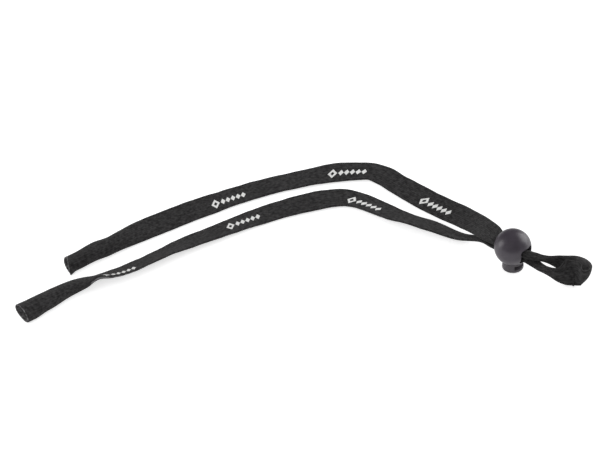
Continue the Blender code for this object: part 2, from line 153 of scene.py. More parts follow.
# %% The routes: x, y, z, roll
LEG_ROUTES = {
    1: [
        (-179.0, 128.0, 4.05, 47), (-168.0, 128.0, 4.05, 47), (-157.0, 128.0, 4.05, 47),
        (-147.0, 128.5, 3.9, 36), (-138.0, 129.3, 3.3, 26), (-125.0, 129.8, 2.45, 16),
        (-109.0, 129.2, 2.0, 12), (-94.0, 128.0, 1.7, 9), (-79.0, 126.7, 1.15, 4),
        (-64.0, 124.2, 0.85, 1), (-50.0, 120.7, 0.75, 0), (-37.0, 116.2, 1.1, 3),
        (-26.0, 111.2, 1.6, 8), (-17.2, 106.2, 1.35, 5), (-11.4, 101.8, 1.25, 4),
        (-8.8, 95.2, 1.6, 8), (-7.6, 86.5, 1.7, 9), (-6.0, 75.4, 2.3, 13),
        (-4.2, 63.8, 3.0, 17), (-1.8, 52.8, 3.8, 18), (0.2, 43.4, 4.6, 18),
        (0.2, 36.8, 6.2, 17), (-0.2, 30.5, 8.2, 15), (-0.8, 24.0, 10.0, 11),
        (-1.5, 17.4, 11.5, 6), in_lock(-LOCK_EDGE - LEAD_IN, UPPER, 1),
        in_lock(-5.0, UPPER, 0), in_lock(-GAP / 2, UPPER, 0),
    ],
    2: [
        (-220.0, 111.8, 3.45, 10), (-209.0, 111.8, 3.45, 10), (-198.0, 111.8, 3.45, 10),
        (-188.0, 112.6, 3.0, -2), (-181.0, 112.4, 3.4, -17), (-175.0, 111.4, 4.4, -36),
        (-169.0, 110.4, 3.7, -28), (-160.0, 109.2, 3.1, -22), (-146.0, 108.7, 3.2, -23),
        (-133.0, 109.1, 2.9, -20), (-120.0, 109.2, 2.3, -14), (-105.0, 108.3, 1.8, -10),
        (-90.0, 107.6, 1.2, -4), (-76.0, 106.2, 0.85, 0), (-62.0, 103.4, 1.2, 4),
        (-50.0, 99.8, 1.6, 8), (-41.0, 96.6, 1.4, 6), (-34.5, 93.2, 1.0, 2),
        (-31.0, 89.0, 0.85, -1), (-28.5, 83.5, 1.0, -3), (-26.0, 76.0, 1.3, -5),
        (-23.5, 67.0, 1.9, -10), (-19.5, 56.5, 2.8, -18), (-15.0, 48.5, 2.5, -16),
        (-10.8, 40.3, 2.4, -17), (-7.6, 32.6, 3.1, -16), (-5.0, 25.2, 5.0, -12),
        (-3.6, 17.4, 7.7, -6), in_lock(-LOCK_EDGE - LEAD_IN, LOWER, -1),
        in_lock(-5.0, LOWER, 0), in_lock(-GAP / 2, LOWER, 0),
    ],
}
# The loop stands on edge. Its last number is how far the webbing is open: it leaves the
# lock gathered, 0, has its whole width, 1, at the fold, and comes back.
LOOP_ROUTE = [
    in_lock(GAP / 2, UPPER, 90, 0), in_lock(5.0, UPPER, 90, 0),
    in_lock(LOCK_EDGE, UPPER, 90, 0), (6.1, -13.1, 11.5, 90, 0.04),
    (10.2, -17.2, 10.3, 88, 0.28), (13.4, -19.6, 9.4, 84, 0.5), (16.6, -22.7, 8.1, 78, 0.8),
    (19.7, -25.9, 6.9, 72, 1), (21.3, -29.7, 6.5, 66, 1), (20.5, -33.2, 6.4, 64, 1),
    (17.8, -34.3, 6.4, 70, 1), (16.3, -30.0, 7.2, 114, 1), (12.2, -27.8, 7.0, 118, 0.82),
    (8.6, -25.2, 7.1, 100, 0.5), (6.6, -21.9, 7.4, 90, 0.24), (5.0, -18.4, 8.0, 88, 0.08),
    (4.0, -14.4, 8.8, 89, 0.02), in_lock(LOCK_EDGE, LOWER, 90, 0),
    in_lock(5.0, LOWER, 90, 0), in_lock(GAP / 2, LOWER, 90, 0),
]
print("places:", {number: len(rows) for number, rows in LEG_ROUTES.items()},
      "and in the loop", len(LOOP_ROUTE))


# %% A smooth curve through a route
def ease(value):
    """A smooth step from 0 to 1."""
    value = np.clip(value, 0.0, 1.0)
    return value * value * (3 - 2 * value)


class Route:
    """A smooth curve through rows of numbers, of which the first three are a place."""

    HEADING_STEP = 0.2                 # half the length over which its heading is taken

    def __init__(self, rows):
        self.rows = np.array(rows, float)
        steps = np.linalg.norm(np.diff(self.rows[:, :3], axis=0), axis=1)
        self.knots = np.concatenate([[0.0], np.cumsum(steps)])
        self.slopes = np.gradient(self.rows, self.knots, axis=0)
        self.length = float(self.knots[-1])

    def at(self, distance):
        """The row at a distance along the curve, by a cubic between its two knots."""
        last = len(self.knots) - 2
        i = int(np.clip(np.searchsorted(self.knots, distance) - 1, 0, last))
        span = self.knots[i + 1] - self.knots[i]
        t = (distance - self.knots[i]) / span
        start = (1 + 2 * t) * (1 - t) ** 2
        end = t * t * (3 - 2 * t)
        return (start * self.rows[i] + end * self.rows[i + 1]
                + t * (1 - t) ** 2 * span * self.slopes[i]
                - t * t * (1 - t) * span * self.slopes[i + 1])

    def axes(self, distance, roll=0.0):
        """The place, and the directions across the webbing and out of its upper face."""
        row = self.at(distance)
        ahead = self.at(min(distance + self.HEADING_STEP, self.length))[:3]
        behind = self.at(max(distance - self.HEADING_STEP, 0.0))[:3]
        forward = (ahead - behind) / np.linalg.norm(ahead - behind)
        left = np.cross((0.0, 0.0, 1.0), forward)
        left /= np.linalg.norm(left)
        turn = radians(row[3] + roll)
        across = left * cos(turn) + np.cross(forward, left) * sin(turn)
        return row[:3], across, np.cross(forward, across)


legs = {number: Route(rows) for number, rows in LEG_ROUTES.items()}
loop = Route(LOOP_ROUTE)
print("lengths in mm:", {n: round(leg.length) for n, leg in legs.items()},
      "loop", round(loop.length))

# %% [markdown]
# ## The webbing's shape
# The webbing is a knitted tube. At the mouths it stands open as an oval, further in it is
# pressed flat, and at the lock it is gathered into a bundle with lengthwise pleats. A ribbon
# with a thickness would be quicker to make, but it can't change from one to the other. A loft
# can: one closed outline is computed at each step along the route, and neighbouring outlines
# are joined by faces. Each vertex also keeps its place in the cloth, so that the knit can
# follow the webbing round bends.

# %% One outline across the webbing
AROUND = 72                            # vertices in one outline
STEP = 0.4                             # length from one outline to the next
EDGE_POWER = 4                         # how closely swelling and flutter keep to the edges
EDGE_SWELL = 0.12                      # how much thinner the middle is than the folded edges
PLEAT_DEPTH = 0.42                     # of a gathered strand
PLEAT_LAYER = 0.78                     # half the thickness of one pleat
PLEATS = 1.5                           # waves across a gathered leg
CREASES, CREASE_DEPTH = 5, 0.07        # round the loop's gathered ends
FLATTENS_AT, FLATTENS_OVER = 0.15, 0.5  # how open the loop's webbing is where it falls flat
NUDGE = 1e-6                           # of a turn, so that no vertex lies where a sign changes

share_round = np.arange(AROUND) / AROUND
quarter = np.minimum(share_round % 0.5, 0.5 - share_round % 0.5)
side_sign = np.sign(np.cos(2 * pi * (share_round + NUDGE)))
face_sign = np.sign(np.sin(2 * pi * (share_round + NUDGE)))
cloth_across = side_sign * (quarter - 0.25) * 4 * FLAT[0]


def oval(width, height):
    turn = 2 * pi * share_round
    return width * np.cos(turn), height * np.sin(turn)


def pressed_flat(width, height):
    """A flat bar with round edges, a little thinner in the middle."""
    straight = width - height
    arc = pi * height / 2
    run = quarter * 4 * (straight + arc)
    turn = np.minimum(run / height, pi / 2)
    u = np.where(run < arc, straight + height * np.cos(turn), straight + arc - run)
    v = np.where(run < arc, height * np.sin(turn), height)
    v = v * (1 - EDGE_SWELL * (1 - (u / width) ** EDGE_POWER))
    return side_sign * u, face_sign * v


print(f"{AROUND} vertices round, {AROUND / (4 * FLAT[0]):.1f} to a millimetre")


# %% The outlines of the legs, the loop and the sleeves
def flat_outline(opened):
    """Flat webbing, open to its whole width at 1 and gathered in pleats at 0."""
    width = GATHERED[0] + (FLAT[0] - GATHERED[0]) * opened
    layer = PLEAT_LAYER + (FLAT[1] - PLEAT_LAYER) * opened
    u, v = pressed_flat(width, layer)
    wave = PLEAT_DEPTH * (1 - opened) * np.sin(PLEATS * pi * u / width)
    return u, v + wave


def edgewise_outline(opened):
    """The loop's webbing, which grows taller as it opens out of its gathered ends."""
    bundle, band = GATHERED[0] * GATHERED[1], FLAT[0] * FLAT[1]
    tall = GATHERED[1] + (FLAT[0] - GATHERED[1]) * opened
    thick = (bundle + (band - bundle) * opened) / tall
    turn = 2 * pi * share_round
    crease = 1 - CREASE_DEPTH * (1 - opened) * (1 + np.sin(CREASES * turn))
    round_u, round_v = oval(tall, thick)
    flat_u, flat_v = pressed_flat(max(tall, thick), min(tall, thick))
    share = ease((opened - FLATTENS_AT) / FLATTENS_OVER)
    return (round_u * crease * (1 - share) + flat_u * share,
            round_v * crease * (1 - share) + flat_v * share)


def sleeve_outline(distance, mouth, inset):
    """The tube at a distance from its mouth: an open oval, pressed flat further in."""
    pressed = ease((distance - SLEEVE_STRAIGHT) / (SLEEVE_LENGTH - SLEEVE_STRAIGHT))
    width = mouth[0] / 2 + (FLAT[0] - mouth[0] / 2) * pressed - inset
    height = mouth[1] / 2 + (FLAT[1] - mouth[1] / 2) * pressed - inset
    open_u, open_v = oval(width, height)
    flat_u, flat_v = pressed_flat(width, height)
    return open_u + (flat_u - open_u) * pressed, open_v + (flat_v - open_v) * pressed


for opened in (0.0, 1.0):
    u, v = flat_outline(opened)
    print(f"a leg open by {opened:.0f}: {np.ptp(u):.1f} by {np.ptp(v):.1f} mm")


# %% The small unevenness of soft cloth
WAVES = ((41.0, 0.5), (23.0, 0.3), (11.7, 0.2))       # the length and height of each
PHASE = 2.1                                           # sets pieces with other seeds apart
WOBBLE_ROLL, WOBBLE_PLACE, WOBBLE_EDGE = 1.6, 0.12, 0.10      # degrees, mm and mm
FLUTTER = (3.1, 2.7)                   # how many times faster the two edges wander


def wander(distance, seed):
    """A slow, smooth wobble between -1 and 1, made of three waves that never line up."""
    return sum(size * np.sin(2 * pi * distance / length + seed * (PHASE + i))
               for i, (length, size) in enumerate(WAVES))


def softened(route, distance, u, v, amount=0.0, seed=0):
    """The outline set on its route, with a wobble in place, tilt and edges."""
    roll = WOBBLE_ROLL * amount * wander(distance, seed)
    place, across, out = route.axes(distance, roll)
    near_edge = (u / np.abs(u).max()) ** EDGE_POWER
    flutter = np.where(u > 0, wander(FLUTTER[0] * distance, seed + 1),
                       wander(FLUTTER[1] * distance, seed + 2))
    v = v + WOBBLE_EDGE * amount * near_edge * flutter
    place = place + across * WOBBLE_PLACE * amount * wander(distance, seed + 3)
    return place + np.outer(u, across) + np.outer(v, out)


print("wander along leg 1:", [round(float(wander(d, 1)), 2) for d in (50.0, 100.0, 150.0)])


# %% A loft through the outlines
def keep(mesh, name, vectors):
    """Keep a vector at each vertex, which a finish can read by its name."""
    attribute = mesh.attributes.new(name, "FLOAT_VECTOR", "POINT")
    attribute.data.foreach_set("vector", vectors.astype(np.float32).ravel())


def loft(name, rings, along, from_print, side):
    """A closed mesh through rings of equal count, with each vertex's place in the cloth.

    The cloth's side is 1 where it can be printed, 0 where it can't, and below 0 inside.
    """
    count = len(rings)
    ring = np.arange(AROUND)
    following = (ring + 1) % AROUND
    first = (np.arange(count - 1) * AROUND)[:, None]
    quads = np.stack([first + ring, first + AROUND + ring, first + AROUND + following,
                      first + following], axis=2).reshape(-1, 4)
    caps = [list(range(AROUND)), [(count - 1) * AROUND + i for i in reversed(range(AROUND))]]
    mesh = bpy.data.meshes.new(name)
    mesh.from_pydata((np.concatenate(rings) * MM).tolist(), [], quads.tolist() + caps)
    mesh.shade_smooth()

    keep(mesh, "cloth", np.column_stack([
        np.repeat(along, AROUND), np.tile(cloth_across, count),
        np.tile(np.sin(2 * pi * share_round), count)]))
    side = np.repeat(side, AROUND)
    side = np.where(side > 0, np.tile(face_sign, count) * side, side)
    keep(mesh, "print", np.column_stack([np.repeat(from_print, AROUND, axis=0), side]))

    made = bpy.data.objects.new(name, mesh)
    bpy.context.scene.collection.objects.link(made)
    print(f"{name}: {count} outlines, {len(quads)} quads")
    return made


# %% [markdown]
# ## The two legs
# Each leg runs from its open mouth to the lock. Sleeve and leg could be two pieces, but they
# are one knitted tube, and one loft leaves no seam between them. It starts inside the hollow,
# comes out to the mouth, rolls over the rim and runs down the outside to the lock. Three
# prints are set on each leg, and every outline keeps its distance from the nearest.

# %% How each leg differs from an even band
RIM_STEPS = 6                          # outlines in the roll over a mouth's rim
CUT_SIDE = np.array((0.0, -0.95, 0.30))  # the side on which a mouth reaches further out
CUT_SLANT = {1: 0.62, 2: 0.10}         # how much further, for each millimetre to that side
LIP = {1: 0.22, 2: 0.04}               # how much the lower end of a mouth is pulled out
CUT_LENGTH, LIP_LENGTH = 14.0, 4.0     # how far the cut and the lip reach along the leg
INSIDE_END = 0.8                       # how far short of the lock's middle a leg stops
CALM = (25.0, 60.0)                    # near the lock the legs lie close, so they lie still
# The prints: how far the middle of each is from the mouth, and from the webbing's own middle.
PRINTS = {1: ((97.0, 1.2), (160.5, 0.8), (217.0, 1.2)),
          2: ((57.0, 2.9), (133.5, 0.2), (199.5, 1.4))}
NEAR_PRINT = 16.0                      # no print reaches further than this from its middle
# Inside each tube the knit is painted paler, by the amount given here: painted light for the
# light that reaches into the hollow.
INSIDE = {1: -1.0, 2: -0.72}           # the cloth's side inside each tube, and how pale it is
# Where an edge of a leg draws in or stretches out: the distance from the mouth, the length on
# both sides of it, the left or right edge, the share of the half width, and a drop in height.
LEG_EDGES = {1: ((17.0, 12.0, 1, -0.25, 0.0), (15.0, 9.0, -1, 0.16, 0.0)),
             2: ((3.0, 12.0, -1, -0.26, 0.0), (30.5, 18.0, -1, 0.38, 0.0),
                 (254.0, 17.0, 1, 0.10, 1.0))}


def drawn_edges(u, v, distance, edges):
    """An outline with its edges drawn in or stretched out, and how far it drops there."""
    drop = 0.0
    for middle, reach, way, share, sag in edges:
        near = 1 - ease(abs(distance - middle) / reach)
        kept = 1 - share * near * np.maximum(u * way, 0.0) / np.abs(u).max()
        u, v = u * kept, v * kept
        drop += sag * near
    return u, v, drop


print("edges that move:", {number: len(edges) for number, edges in LEG_EDGES.items()})


# %% The legs
def leg_ring(number, distance, inset):
    """One outline, a wall's thickness in for the inside. The mouth is cut at a slant."""
    route = legs[number]
    to_lock = route.length - distance
    if distance < SLEEVE_LENGTH:
        u, v = sleeve_outline(distance, MOUTHS[number], inset)
        u = np.where(u < 0, u * (1 + LIP[number] * (1 - ease(distance / LIP_LENGTH))), u)
    else:
        u, v = flat_outline(ease((to_lock - LOCK_EDGE) / GATHER_LENGTHS[number]))
    u, v, drop = drawn_edges(u, v, distance, LEG_EDGES[number])
    amount = ease((to_lock - CALM[0]) / (CALM[1] - CALM[0]))
    ring = softened(route, distance, u, v, amount, number)
    ring[:, 2] -= drop
    slant = CUT_SLANT[number] * (1 - ease(distance / CUT_LENGTH))
    near_side = np.maximum((ring - route.at(distance)[:3]) @ CUT_SIDE, 0.0)
    return ring + np.outer(near_side * slant, (-1.0, 0.0, 0.0))


def make_leg(number):
    """A leg with its sleeve: up the inside, over the rim, and down the outside."""
    half_wall = WEBBING_WALL / 2
    end = legs[number].length - INSIDE_END
    inside = [(distance, WEBBING_WALL)
              for distance in np.arange(SLEEVE_HOLLOW, half_wall, -STEP)]
    rim = [(half_wall * (1 - sin(turn)), half_wall * (1 + cos(turn)))
           for turn in np.linspace(0, pi, RIM_STEPS + 1)]
    outside = [(distance, 0.0) for distance in np.arange(half_wall + STEP, end, STEP)]
    rings, along, from_print, side = [], [], [], []
    for distance, inset in inside + rim + outside:
        middle, beside = min(PRINTS[number], key=lambda row: abs(distance - row[0]))
        can_print = float(abs(distance - middle) < NEAR_PRINT)
        rings.append(leg_ring(number, distance, inset))
        along.append(distance)
        from_print.append((distance - middle, beside))
        side.append(INSIDE[number] if inset else can_print)
    return loft(f"webbing_leg_{number}", rings, along, from_print, side)


leg_pieces = {number: make_leg(number) for number in legs}

# %% [markdown]
# ## The loop
# Behind the lock the webbing turns back on itself. It leaves the hole gathered, opens to its
# whole width at the fold, and goes back in underneath itself. The strand that comes back
# leans over, so its upper edge hides the lower half of the other one. The same loft makes it,
# but standing on edge: an outline that turned while it opened would twist the cloth.

# %% The loop
LOOP_STEP = 0.25
LOOP_ALONG = 400.0                     # the loop's place in the cloth, past both legs
# Where the loop's edges draw in or stretch out: the distance along the loop, the length on
# both sides of it, the upper or lower edge, and the share of its half width that it moves in.
LOOP_EDGES = ((15.8, 7.0, -1, 0.30), (48.0, 6.0, -1, -0.08), (53.5, 5.0, 1, -0.36),
              (63.0, 5.5, 1, -0.42), (69.5, 4.0, 1, 0.35))
BELLY = (41.5, 5.5, 1.3)               # the fold swells outward halfway up: where, reach, depth


def loop_ring(distance):
    """One outline of the loop, with its belly and its edges."""
    u, v = edgewise_outline(float(np.clip(loop.at(distance)[4], 0, 1)))
    middle, reach, depth = BELLY
    v = v - depth * (1 - ease(abs(distance - middle) / reach)) * (1 - (u / u.max()) ** 2)
    for middle, reach, way, share in LOOP_EDGES:
        drawn_in = share * (1 - ease(abs(distance - middle) / reach))
        u = np.where(u * way > 0, u * (1 - drawn_in), u)
    return softened(loop, distance, u, v)


loop_distances = np.arange(0.0, loop.length, LOOP_STEP)
no_print = np.zeros((len(loop_distances), 2))
loop_piece = loft("webbing_loop", [loop_ring(distance) for distance in loop_distances],
                  loop_distances + LOOP_ALONG, no_print, no_print[:, 0])

# %% [markdown]
# ## The cords
# The two legs are free, limp, flat cords. For each, the line that it follows from where it
# leaves the lock to its open mouth is worked out, and its length is printed. The loop is too
# short to count as one. The frame's own pieces of webbing are hidden, and the new ones are
# fixed where they stand.

# %% Hiding the frame's webbing and fixing the new pieces in place
LINE_POINTS = 60

for number, piece in leg_pieces.items():
    route = legs[number]
    reach = route.length - LOCK_EDGE
    line = [route.at(d)[:3] * MM for d in np.linspace(reach, 0.0, LINE_POINTS)]
    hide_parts(f"temple_sleeve_{number}", f"strap_leg_{number}")
    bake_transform(piece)
    print(f"leg {number}: {reach:.0f} mm from the lock to its mouth")

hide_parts("strap_loop")
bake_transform(loop_piece)

# %% [markdown]
# ## The lock's ball
# The barrel of the lock is a moulded ball, bored from below for the button and pierced
# sideways for the webbing. Cutting a ball with plain tools leaves knife edges, which no
# moulded part has. A voxel remesh after the cuts, followed by a few rounds of smoothing,
# gives every edge a small even radius, as the mould would.


# %% Plain shapes to mould and to cut with
TURN_STEPS = 96
MERGE = 0.00001                        # points closer than this are one


def plain_object(name, shape):
    mesh = bpy.data.meshes.new(name)
    shape.to_mesh(mesh)
    shape.free()
    made = bpy.data.objects.new(name, mesh)
    bpy.context.scene.collection.objects.link(made)
    return made


def turned(name, outline):
    """A body turned about Z from a profile of (radius, height), given from top to bottom."""
    shape = bmesh.new()
    verts = [shape.verts.new((r * MM, 0, z * MM)) for r, z in outline]
    for first, second in zip(verts, verts[1:]):
        shape.edges.new((first, second))
    made = plain_object(name, shape)
    screw = made.modifiers.new("turn", "SCREW")
    screw.steps = screw.render_steps = TURN_STEPS
    screw.use_merge_vertices = True
    screw.merge_threshold = MERGE
    return made


def block(name, size, centre, heading, corner=0.0):
    """A block turned about Z, whose edges along its own X can be rounded."""
    shape = bmesh.new()
    bmesh.ops.create_cube(shape, size=1.0)
    bmesh.ops.scale(shape, vec=Vector(size) * MM, verts=shape.verts)
    if corner:
        along = [e for e in shape.edges
                 if abs((e.verts[0].co - e.verts[1].co).x) > 0.5 * size[0] * MM]
        bmesh.ops.bevel(shape, geom=along, offset=corner * MM, segments=8,
                        profile=0.5, affect="EDGES")
    turn = Matrix.Rotation(heading, 4, "Z")
    shape.transform(Matrix.Translation(Vector(centre) * MM) @ turn)
    return plain_object(name, shape)


# %% Cutting, remeshing and smoothing
VOXEL = 0.17                           # fine enough to keep the ribs and grooves
SMOOTHING = 0.5                        # how far each round pulls a vertex to its neighbours


def as_mesh(made):
    """A new mesh of an object as its modifiers or its bevel make it."""
    bpy.context.view_layer.update()
    evaluated = made.evaluated_get(bpy.context.evaluated_depsgraph_get())
    mesh = bpy.data.meshes.new_from_object(evaluated)
    mesh.shade_smooth()
    return mesh


def moulded(target, tools, rounds):
    """Cut or join the tools, remesh, and smooth the edges to a small radius."""
    for tool, operation in tools:
        cut = target.modifiers.new(tool.name, "BOOLEAN")
        cut.operation = operation
        cut.solver = "EXACT"
        cut.object = tool
    remesh = target.modifiers.new("remesh", "REMESH")
    remesh.mode = "VOXEL"
    remesh.voxel_size = VOXEL * MM
    smooth = target.modifiers.new("smooth", "SMOOTH")
    smooth.factor = SMOOTHING
    smooth.iterations = rounds
    mesh = as_mesh(target)
    mesh.name = target.name
    target.modifiers.clear()
    target.data = mesh
    for tool, _ in tools:
        bpy.data.objects.remove(tool, do_unlink=True)
    print(f"{target.name}: {len(mesh.polygons)} faces")


# %% The ball
BORE_RADIUS, BORE_CEILING = 5.65, 17.3
CHAMBER_RADIUS, CHAMBER_CEILING = 4.1, 19.6           # the spring's, above the bore
BORE_START = -1.0                                     # the tool starts below the ball
RIB_STAND, RIB_WIDTH, RIB_FLOOR, RIB_HEIGHT = 0.9, 1.6, 9.6, 2.4
HOLE_HEADING = np.arctan2(AXIS.y, AXIS.x)

sphere = bmesh.new()
bmesh.ops.create_uvsphere(sphere, u_segments=128, v_segments=64, radius=BALL_RADIUS * MM)
sphere.transform(Matrix.Translation((0, 0, BALL_CENTRE * MM)))
ball = plain_object("lock_ball", sphere)
bore = turned("bore", [(0, CHAMBER_CEILING), (CHAMBER_RADIUS, CHAMBER_CEILING),
                       (CHAMBER_RADIUS, BORE_CEILING), (BORE_RADIUS, BORE_CEILING),
                       (BORE_RADIUS, BORE_START), (0, BORE_START)])
hole_height = SLOT_TOP + TRAVEL - HOLE_FLOOR
hole = block("hole", (3 * BALL_RADIUS, HOLE_WIDTH, hole_height),
             (0, 0, HOLE_FLOOR + hole_height / 2), HOLE_HEADING, HOLE_CORNER)
groove_height = RIB_HEIGHT + TRAVEL + 2 * GAP
groove = block("groove", (2 * (BORE_RADIUS + RIB_STAND), RIB_WIDTH + 2 * GAP, groove_height),
               (0, 0, RIB_FLOOR - GAP + groove_height / 2), HOLE_HEADING + pi / 2)
moulded(ball, [(bore, "DIFFERENCE"), (hole, "DIFFERENCE"), (groove, "DIFFERENCE")], rounds=6)
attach(ball, "toggle")
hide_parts("toggle_ball")

# %% [markdown]
# ## The button
# The plunger fills the bore. Its cross slot lets the webbing through, two ribs keep it from
# turning, and its foot, which the lock stands on, has a hollow cored out of each side so
# that the moulding cools without sink marks. It is turned from a profile, as on a lathe,
# because nearly all of it is round. The rest is joined or cut, and remeshed as the ball was.

# %% The button
BUTTON_RADIUS = BORE_RADIUS - GAP
BUTTON_TOP, BOSS_RADIUS, BOSS_HEIGHT = 15.2, 2.9, 0.9
FOOT_EDGE, FOOT_POINTS = 0.7, 8        # the radius round the foot, and the points along it
CORE_FLOOR, CORE_CEILING, CORE_CHORD, CORE_DEPTH = 1.9, 3.9, 7.5, 2.0

foot_edge = [(BUTTON_RADIUS - FOOT_EDGE * (1 - cos(turn)), FOOT_EDGE * (1 - sin(turn)))
             for turn in np.linspace(0, pi / 2, FOOT_POINTS)]
button = turned("lock_button", [(0, BUTTON_TOP + BOSS_HEIGHT),
                                (BOSS_RADIUS, BUTTON_TOP + BOSS_HEIGHT),
                                (BOSS_RADIUS, BUTTON_TOP), (BUTTON_RADIUS, BUTTON_TOP),
                                *foot_edge, (0, 0)])
ribs = block("ribs", (2 * (BUTTON_RADIUS + RIB_STAND), RIB_WIDTH, RIB_HEIGHT),
             (0, 0, RIB_FLOOR + RIB_HEIGHT / 2), HOLE_HEADING + pi / 2)
slot_height = SLOT_TOP - SLOT_FLOOR
slot = block("slot", (4 * BUTTON_RADIUS, SLOT_WIDTH, slot_height),
             (0, 0, SLOT_FLOOR + slot_height / 2), HOLE_HEADING, SLOT_CORNER)
tools = [(ribs, "UNION"), (slot, "DIFFERENCE")]

chord_from_axis = (BUTTON_RADIUS ** 2 - (CORE_CHORD / 2) ** 2) ** 0.5
core_height = CORE_CEILING - CORE_FLOOR
for label, way in (("front", 1), ("back", -1)):
    place = AXIS * (chord_from_axis - CORE_DEPTH + BUTTON_RADIUS / 2) * way
    core = block(f"core_{label}", (BUTTON_RADIUS, CORE_CHORD, core_height),
                 (place.x, place.y, CORE_FLOOR + core_height / 2), HOLE_HEADING)
    tools.append((core, "DIFFERENCE"))
moulded(button, tools, rounds=4)
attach(button, "button")
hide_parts("toggle_button")

# %% [markdown]
# ## The spring
# A compression spring stands between the button and the barrel's ceiling. It is wound from
# round wire, and its ends are closed so that they sit flat. A curve with a round bevel draws
# such a wire in one step, and it is then made a mesh. In the real lock it shortens when the
# button is pressed.

# %% The spring
SPRING_WIRE, SPRING_TURNS, CLOSED_TURNS, CLOSED_RISE = 0.5, 3.5, 0.5, 0.29
SPRING_POINTS = 169                    # 48 to a turn, and one to end on
spring_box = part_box("toggle_spring")
spring_low, spring_high = (corner.z / MM for corner in spring_box)
lowest, highest = spring_low + SPRING_WIRE / 2, spring_high - SPRING_WIRE / 2
coil_radius = spring_box[1].x / MM - SPRING_WIRE / 2

turns = np.linspace(0, SPRING_TURNS, SPRING_POINTS)
rise = np.interp(turns, [0, CLOSED_TURNS, SPRING_TURNS - CLOSED_TURNS, SPRING_TURNS],
                 [lowest, lowest + CLOSED_RISE, highest - CLOSED_RISE, highest])
points = np.column_stack([coil_radius * np.cos(2 * pi * turns),
                          coil_radius * np.sin(2 * pi * turns), rise]) * MM
wire = bpy.data.curves.new("wire", "CURVE")
wire.dimensions = "3D"
wire.bevel_depth = SPRING_WIRE / 2 * MM
wire.bevel_resolution = 3
wire.use_fill_caps = True
coil = wire.splines.new("POLY")
coil.points.add(len(points) - 1)
coil.points.foreach_set("co", np.column_stack([points, np.ones(len(points))]).ravel())
holder = bpy.data.objects.new("wire", wire)
bpy.context.scene.collection.objects.link(holder)
spring = bpy.data.objects.new("lock_spring", as_mesh(holder))
bpy.context.scene.collection.objects.link(spring)
bpy.data.objects.remove(holder, do_unlink=True)
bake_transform(spring)
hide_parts("toggle_spring")
print(f"spring: {len(spring.data.polygons)} faces, {highest - lowest:.1f} mm high")

# %% [markdown]
# ## Shader arithmetic
# A pattern is easier to read as a formula than as a web of nodes. A small class wraps a
# node's output, and adding or multiplying two of them adds the Math node that does it. A
# second class holds a tree of nodes and the one method that adds to it, and a third makes
# it a finish with a name, a colour and a roughness.


# %% A value in a tree of nodes
class Value:
    """An output of a node, on which arithmetic adds Math nodes."""

    def __init__(self, tree, socket):
        self.tree = tree
        self.socket = socket

    def math(self, operation, *others):
        return self.tree.node("ShaderNodeMath", {"operation": operation}, (self, *others))

    def __add__(self, other):
        return self.math("ADD", other)

    def __sub__(self, other):
        return self.math("SUBTRACT", other)

    def __rsub__(self, other):
        return self.tree.node("ShaderNodeMath", {"operation": "SUBTRACT"}, (other, self))

    def __mul__(self, other):
        return self.math("MULTIPLY", other)

    def __truediv__(self, other):
        return self.math("DIVIDE", other)

    def __abs__(self):
        return self.math("ABSOLUTE")

    def __lt__(self, other):
        return self.math("LESS_THAN", other)

    def __gt__(self, other):
        return self.math("GREATER_THAN", other)

    __radd__ = __add__
    __rmul__ = __mul__

    def at_least(self, lowest):
        return self.math("MAXIMUM", lowest)

    def fraction(self):
        """What is left over a whole number: a ramp that starts again at each one."""
        return self.math("FRACT")

    def ridge(self):
        """1 in the middle of each whole number and 0 at its ends, in a smooth hump."""
        return (self.fraction() * pi).math("SINE")


# %% A tree of nodes, and a finish
class NodeTree:
    """A tree of nodes, and the one way in which nodes are added to it."""

    def __init__(self, tree):
        self.nodes = tree.nodes
        self.links = tree.links

    def fill(self, socket, value):
        """Link a value to a socket, or write a constant on it."""
        if isinstance(value, Value):
            self.links.new(value.socket, socket)
        else:
            socket.default_value = value

    def node(self, kind, settings=(), inputs=(), output=0):
        """Add a node: its settings first, then the values or links of its sockets."""
        made = self.nodes.new(kind)
        for key, value in dict(settings).items():
            setattr(made, key, value)
        pairs = inputs.items() if isinstance(inputs, dict) else enumerate(inputs)
        for key, value in pairs:
            self.fill(made.inputs[key], value)
        return Value(self, made.outputs[output])


class Finish(NodeTree):
    """A Principled material, with the few kinds of node that the finishes share."""

    def __init__(self, name, colour, roughness, metallic=0.0):
        self.material = bpy.data.materials.new(name)
        self.material.use_nodes = True
        super().__init__(self.material.node_tree)
        self.shader = self.nodes["Principled BSDF"]
        self.set("Base Color", (*colour, 1))
        self.set("Roughness", roughness)
        self.set("Metallic", metallic)

    def set(self, name, value):
        """Link a value to the shader, or write a constant on the shader's own socket."""
        self.fill(self.shader.inputs[name], value)

    def kept(self, name):
        """A vector that the mesh keeps at its vertices."""
        return self.node("ShaderNodeAttribute", {"attribute_name": name}, output="Vector")

    def parts(self, vector):
        """The X, Y and Z of a vector."""
        return [self.node("ShaderNodeSeparateXYZ", (), (vector,), output=axis)
                for axis in ("X", "Y", "Z")]

    def mix(self, share, first, second):
        """From the first colour to the second."""
        return self.node("ShaderNodeMix", {"data_type": "RGBA"},
                         {0: share, 6: first, 7: second}, output=2)

    def noise(self, where, scale, detail):
        return self.node("ShaderNodeTexNoise", (),
                         {"Vector": where, "Scale": scale, "Detail": detail})

    def bump(self, height, distance, strength):
        self.set("Normal", self.node("ShaderNodeBump", (), {
            "Height": height, "Distance": distance, "Strength": strength}))

    def cover(self, *objects):
        for one in objects:
            one.data.materials.clear()
            one.data.materials.append(self.material)
        print(f"{self.material.name}: {len(self.nodes)} nodes, on {len(objects)}")


